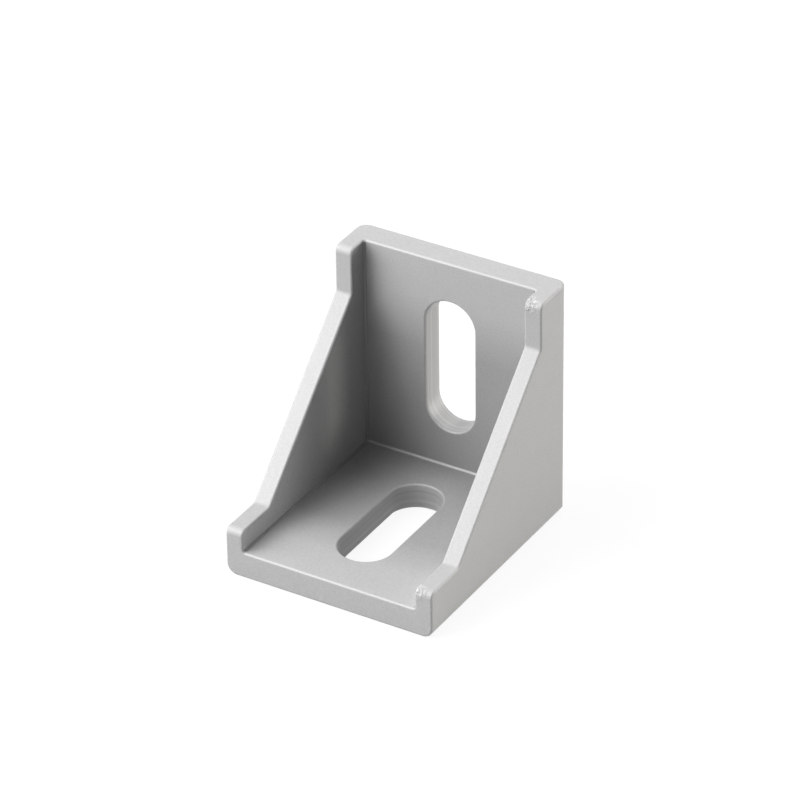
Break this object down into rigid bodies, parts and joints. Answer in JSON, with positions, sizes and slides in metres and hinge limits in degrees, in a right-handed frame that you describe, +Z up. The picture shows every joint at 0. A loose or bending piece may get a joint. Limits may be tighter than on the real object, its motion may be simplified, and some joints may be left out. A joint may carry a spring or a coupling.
{
  "type": "t slot corner bracket",
  "caption": "Cast L-shaped corner bracket with side walls and a bolt slot in each leg, joining two lengths of slotted aluminium framing at a right angle.",
  "frame": {"origin": "middle of the footprint, on the base's mounting face", "axes": "+Z up along the back plate, +Y out of the back plate's mounting face, X across the two side walls; the open front faces -Y"},
  "size_m": [0.0354, 0.04, 0.04],
  "materials": {
    "cast_aluminium": "fine shot-blasted, satin"
  },
  "bodies": {
    "root": {"corner_bracket": "cast_aluminium"}
  },
  "joints": []
}
